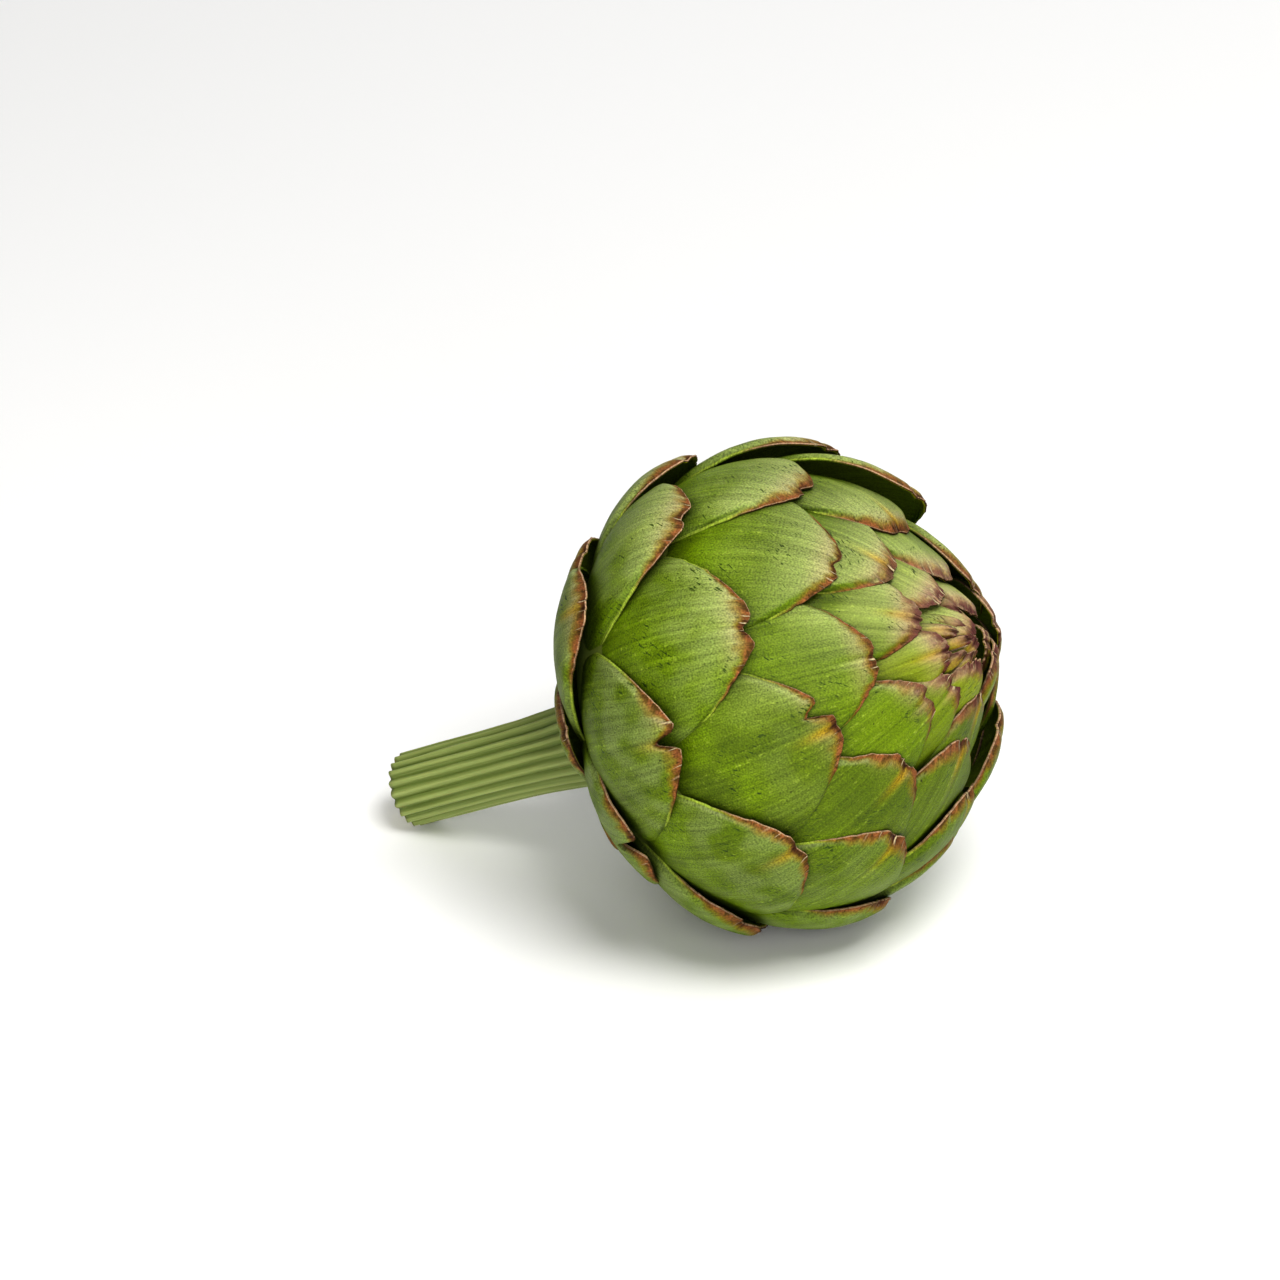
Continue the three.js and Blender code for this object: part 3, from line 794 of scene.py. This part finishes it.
skin = bractFinish()
tree = bractTree(skin)
groups = {"bracts_tip": [number for number in habits if number % 1]}
for first in range(1, bracts["count"] + 1, bracts["perPiece"]):
    last = min(first + bracts["perPiece"] - 1, bracts["count"])
    groups[f"bracts_{first}_{last}"] = range(first, last + 1)
for name, numbers in groups.items():
    plans = [bractPlan(number) for number in numbers]
    planPoints = meshOf("bractPlans", [(0, 0, 0)] * len(plans))
    for key in plans[0]:
        keepValues(planPoints, key, [plan[key] for plan in plans])
    piece = makeReal(name, template, tree,
                     {"Bract plans": planPoints, "Meridian": meridianLine})
    bpy.data.objects.remove(planPoints)
    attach(piece, "root")
    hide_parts("head")
    print(name, len(piece.data.polygons), "faces")

bpy.data.objects.remove(template)
bpy.data.objects.remove(meridianLine)

# The heart under the bracts fills the gaps between their roots.
heart = {
    "depth": 6.6, "sides": 72, "everyRow": 4, "leastRadius": 0.2,
    # the dark colour is painted shade for the gaps between the bracts' roots
    "gapShade": "#3b4a14", "pale": "#6f7a2a", "mottlesPerMm": 0.12,
    "roughness": 0.7, "relief": 0.5, "bump": 0.5,
}


# Fleshy artichoke heart: dull, mottled from dark painted shade to yellowish green, so the gaps
# between the bracts look deep.
def heartFinish():
    material, add = startMaterial("heartGapShade")
    place = add("ShaderNodeTexCoord").outputs["Object"]
    mottle = add("ShaderNodeTexNoise", {"Vector": place, "Scale": heart["mottlesPerMm"] / mm,
                                        "Detail": 3.0})
    color = layColors(add, heart, "gapShade", [("pale", mottle)])
    bump = add("ShaderNodeBump", {"Height": mottle, "Distance": heart["relief"] * mm,
                                  "Strength": heart["bump"]})
    shader = add("ShaderNodeBsdfPrincipled", {"Base Color": color, "Normal": bump,
                                              "Roughness": heart["roughness"]})
    add("ShaderNodeOutputMaterial", {"Surface": shader})
    return material


def heartPiece():
    rows = meridian[::heart["everyRow"]]
    points = []
    for before, row, after in zip(rows, rows[1:], rows[2:]):
        rise, out = after[1] - before[1], after[2] - before[2]
        run = math.hypot(rise, out)
        height = row[1] - heart["depth"] * out / run
        radius = max(row[2] + heart["depth"] * rise / run, heart["leastRadius"])
        for k in range(heart["sides"]):
            turn = 2 * math.pi * k / heart["sides"]
            point = headTurn @ Vector((radius * math.cos(turn), radius * math.sin(turn), height))
            point += Vector(head["centre"])
            point.z = max(point.z, heart["depth"])
            points.append(point * mm)
    sides, rings = heart["sides"], len(points) // heart["sides"]
    faces = []
    for start in range(0, (rings - 1) * sides, sides):
        for k in range(sides):
            after = (k + 1) % sides
            faces.append([start + k, start + sides + k, start + sides + after, start + after])
    faces.append(list(range(sides)))
    faces.append([(rings - 1) * sides + k for k in reversed(range(sides))])
    piece = meshOf("heart", points, faces)
    piece.data.shade_smooth()
    piece.data.materials.append(heartFinish())
    return piece


piece = heartPiece()
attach(piece, "root")
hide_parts("head")
print("heart", len(piece.data.polygons), "faces")

# The stalk: ribbed, a little swollen at the head, cut square across.
stalk = {
    "radius": 9.0, "collar": 12.5, "collarPower": 4.0, "top": -41.0,
    "ribs": 20, "ribDepth": 1.1, "ribPower": 0.7, "ribLevel": 0.9, "ribDrift": 2.5,
    "uneven": 0.8, "unevenScale": 2.5, "dish": 1.2,
    "rows": 60, "sides": 200, "cutRings": (0.2, 0.4, 0.6, 0.75, 0.88, 0.96),
    "ridge": "#a9b56c", "groove": "#56681e", "cutRim": "#8a8a4a", "pith": "#d8d6a4",
    "fibre": "#8d8a50",
    "fibreScale": (26.0, 26.0, 2.5), "fibreShare": 0.9, "ridgeShare": 0.7, "shareShift": -0.35,
    "cloudScale": 3.0, "cloudShare": 0.4, "bundleScale": 11.0, "bundleShare": 0.6,
    "onCut": (0.999, 0.96), "toPith": (0.93, 0.8), "bundle": (0.30, 0.18),
    "roughness": 0.6, "relief": 0.6, "bump": 0.5, "depthWeight": 0.08, "depthScale": 2.0,
}
# where the axis is when the cut's lower edge touches the table
cutEnd = -(head["centre"][2] - stalk["radius"] * math.cos(lean)) / math.sin(lean)


def stalkTemplate():
    sides = stalk["sides"]
    rings = [(0.0, spoke) for spoke in stalk["cutRings"]]
    rings += [(row / stalk["rows"], 1.0) for row in range(stalk["rows"] + 1)]
    turns = [2 * math.pi * k / sides for k in range(sides)]
    corners = [(0.0, 0.0, 0.0)]
    corners += [(share, spoke, turn) for share, spoke in rings for turn in turns]
    corners.append((1.0, 0.0, 0.0))
    faces = []
    last = len(corners) - 1
    for k in range(sides):
        after = (k + 1) % sides
        faces.append([0, 1 + after, 1 + k])
        for start in range(1, last - sides, sides):
            faces.append([start + k, start + after, start + sides + after, start + sides + k])
        faces.append([last, last - sides + k, last - sides + after])
    item = meshOf("stalkTemplate", [(math.cos(turn) * spoke, math.sin(turn) * spoke, share)
                                    for share, spoke, turn in corners], faces)
    for name, numbers in zip(("share", "spoke", "around"), zip(*corners)):
        keepValues(item, name, numbers)
    return item


# Cut artichoke stalk: pale dry ridges over darker grooves, with fine fibres along it, and pale
# pith with fibre ends on the cut.
def stalkFinish():
    material, add = startMaterial("ribbedStalk")
    names = ("share", "spoke", "around", "ridge")
    own = {name: add("ShaderNodeAttribute", attribute_name=name).outputs["Fac"] for name in names}
    place = aroundAxis(add, own["spoke"], own["around"], own["share"])
    stretched = add("ShaderNodeVectorMath", (place, stalk["fibreScale"]), operation="MULTIPLY")
    fibres = add("ShaderNodeTexNoise", {"Vector": stretched, "Scale": 1.0, "Detail": 4.0})
    cloud = add("ShaderNodeTexNoise", {"Vector": place, "Scale": stalk["cloudScale"],
                                       "Detail": 2.0})
    bundles = add("ShaderNodeTexVoronoi", {"Vector": place, "Scale": stalk["bundleScale"]})
    masks = {}
    for name, value, top in (("onCut", own["spoke"], 1.0), ("toPith", own["spoke"], 1.0),
                             ("bundle", bundles.outputs["Distance"], stalk["bundleShare"])):
        masks[name] = add("ShaderNodeMapRange", (value, *stalk[name], 0.0, top))
    ridged = add("MULTIPLY_ADD", (own["ridge"], stalk["ridgeShare"], stalk["shareShift"]))
    ridged = add("MULTIPLY_ADD", (fibres, stalk["fibreShare"], ridged))
    clouded = add("MULTIPLY", (cloud, stalk["cloudShare"]))
    side = layColors(add, stalk, "groove", [("ridge", ridged), ("groove", clouded)])
    cut = layColors(add, stalk, "cutRim", [("pith", masks["toPith"]), ("fibre", masks["bundle"])])
    color = add("ShaderNodeMix", {0: masks["onCut"], 6: side, 7: cut}, data_type="RGBA").outputs[2]
    bump = add("ShaderNodeBump", {"Height": fibres, "Distance": stalk["relief"] * mm,
                                  "Strength": stalk["bump"]})
    shader = add("ShaderNodeBsdfPrincipled", {
        "Base Color": color, "Roughness": stalk["roughness"], "Normal": bump,
        "Subsurface Weight": stalk["depthWeight"], "Subsurface Scale": stalk["depthScale"] * mm})
    add("ShaderNodeOutputMaterial", {"Surface": shader})
    return material


def stalkTree(finish):
    tree, add, given = startTree("ribbedStalk", (), {
        "Radius": stalk["radius"], "Collar": stalk["collar"], "Ribs": stalk["ribs"],
        "Rib depth": stalk["ribDepth"], "Cut end": cutEnd, "Top": stalk["top"]})
    own = {name: add("GeometryNodeInputNamedAttribute", {"Name": name})
           for name in ("share", "spoke", "around")}
    uneven = add("ShaderNodeTexNoise", {"Vector": add("GeometryNodeInputPosition"),
                                        "Scale": stalk["unevenScale"], "Detail": 2.0})
    uneven = add("SUBTRACT", (uneven, 0.5))
    wave = add("MULTIPLY", (own["around"], given["Ribs"]))
    wave = add("MULTIPLY_ADD", (uneven, stalk["ribDrift"], wave))
    ridge = add("MULTIPLY_ADD", (add("COSINE", (wave,)), 0.5, 0.5))
    ridge = add("POWER", (ridge, stalk["ribPower"]))
    flare = add("MULTIPLY", (add("SUBTRACT", (given["Collar"], given["Radius"])),
                             add("POWER", (own["share"], stalk["collarPower"]))))
    rib = add("MULTIPLY", (add("SUBTRACT", (ridge, stalk["ribLevel"])), given["Rib depth"]))
    thick = add("ADD", (add("ADD", (given["Radius"], flare)), rib))
    thick = add("MULTIPLY_ADD", (uneven, stalk["uneven"], thick))
    radius = add("MULTIPLY", (thick, own["spoke"]))
    reach = add("SUBTRACT", (given["Top"], given["Cut end"]))
    height = add("MULTIPLY_ADD", (own["share"], reach, given["Cut end"]))
    dish = add("MULTIPLY", (add("SUBTRACT", (1.0, own["spoke"])),
                            add("SUBTRACT", (1.0, own["share"]))))
    height = add("MULTIPLY_ADD", (dish, stalk["dish"], height))
    place = aroundAxis(add, radius, own["around"], height)
    shaped = add("GeometryNodeStoreNamedAttribute",
                 {"Geometry": given["Geometry"], "Name": "ridge", "Value": ridge},
                 data_type="FLOAT", domain="POINT")
    leaned = leanHead(add, add("GeometryNodeSetPosition", {"Geometry": shaped, "Position": place}))
    spot = add("ShaderNodeSeparateXYZ", (add("GeometryNodeInputPosition"),))
    flat = add("ShaderNodeCombineXYZ", {"X": spot.outputs["X"], "Y": spot.outputs["Y"],
                                        "Z": add("MAXIMUM", (spot.outputs["Z"], 0.0))})
    lying = add("GeometryNodeSetPosition", {"Geometry": leaned, "Position": flat})
    endTree(add, lying, finish)
    return tree


template = stalkTemplate()
piece = makeReal("stalk", template, stalkTree(stalkFinish()), {})
bpy.data.objects.remove(template)
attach(piece, "root")
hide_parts("stem")
print("stalk", len(piece.data.polygons), "faces")

# Pale paper under it, and the camera: metres, but the sensor is in mm.
stage = {"floor": "#f7f7f7", "roughness": 0.8, "half": 3.0, "ambient": 0.2}
half = stage["half"]
floor = meshOf("floor", [(-half, -half, 0), (half, -half, 0), (half, half, 0), (-half, half, 0)],
               [(0, 1, 2, 3)])
paper = bpy.data.materials.new("palePaper")
paper.use_nodes = True
paperShader = paper.node_tree.nodes["Principled BSDF"]
paperShader.inputs["Base Color"].default_value = hexColor(stage["floor"])
paperShader.inputs["Roughness"].default_value = stage["roughness"]
floor.data.materials.append(paper)

shot = {
    "azimuth": 22.8, "elevation": 28.3, "distance": 2.0, "clip": (0.01, 20), "sensor": 36.0,
    "width": 1280, "pixelsPerMm": 4.25, "headAt": (769.0, 692.5),    # pixels across and down
}
azimuth, elevation = math.radians(shot["azimuth"]), math.radians(shot["elevation"])
back = Vector((math.sin(azimuth) * math.cos(elevation), -math.cos(azimuth) * math.cos(elevation),
               math.sin(elevation)))
right = Vector((math.cos(azimuth), math.sin(azimuth), 0))
upward = back.cross(right)
middle = shot["width"] / 2
scale = shot["pixelsPerMm"] / mm
aim = Vector(head["centre"]) * mm
aim -= right * (shot["headAt"][0] - middle) / scale
aim += upward * (shot["headAt"][1] - middle) / scale
camera = addObject("camera", bpy.data.cameras.new("camera"))
camera.data.sensor_width = shot["sensor"]
camera.data.lens = shot["pixelsPerMm"] * shot["sensor"] * shot["distance"] / mm / shot["width"]
camera.data.clip_start, camera.data.clip_end = shot["clip"]
camera.location = aim + back * shot["distance"]
camera.rotation_euler = Matrix((right, upward, back)).transposed().to_euler()
bpy.context.scene.camera = camera

# Soft studio light: metres and watts.
lamps = {
    "window": {"place": (0.42, -0.3, 1.08), "aim": (0, 0, 0.05), "size": (0.6, 0.5), "power": 10.6,
               "color": (1.0, 0.99, 0.965)},
    "fill": {"place": (0.6, -1.12, 0.5), "aim": (0, 0, 0.05), "size": (1.0, 0.9), "power": 9.6,
             "color": (1.0, 0.99, 0.97)},
    "paperGlow": {"place": (0.2, 2.0, 1.4), "aim": (0.2, 2.0, 0), "size": (2.4, 1.2), "power": 25,
                  "color": (1.0, 1.0, 1.0)},
}
for name, lamp in lamps.items():
    data = bpy.data.lights.new(name, "AREA")
    data.shape = "RECTANGLE"
    data.size, data.size_y = lamp["size"]
    data.energy, data.color = lamp["power"], lamp["color"]
    light = addObject(name, data)
    light.location = lamp["place"]
    away = Vector(lamp["place"]) - Vector(lamp["aim"])
    light.rotation_euler = away.to_track_quat("Z", "Y").to_euler()
world = bpy.data.worlds.new("studio")
world.use_nodes = True
world.node_tree.nodes["Background"].inputs["Color"].default_value = (1, 1, 1, 1)
world.node_tree.nodes["Background"].inputs["Strength"].default_value = stage["ambient"]
bpy.context.scene.world = world
bpy.context.scene.view_settings.view_transform = "Standard"
bpy.context.scene.view_settings.look = "Medium High Contrast"
print("stage, camera and", len(lamps), "lights")
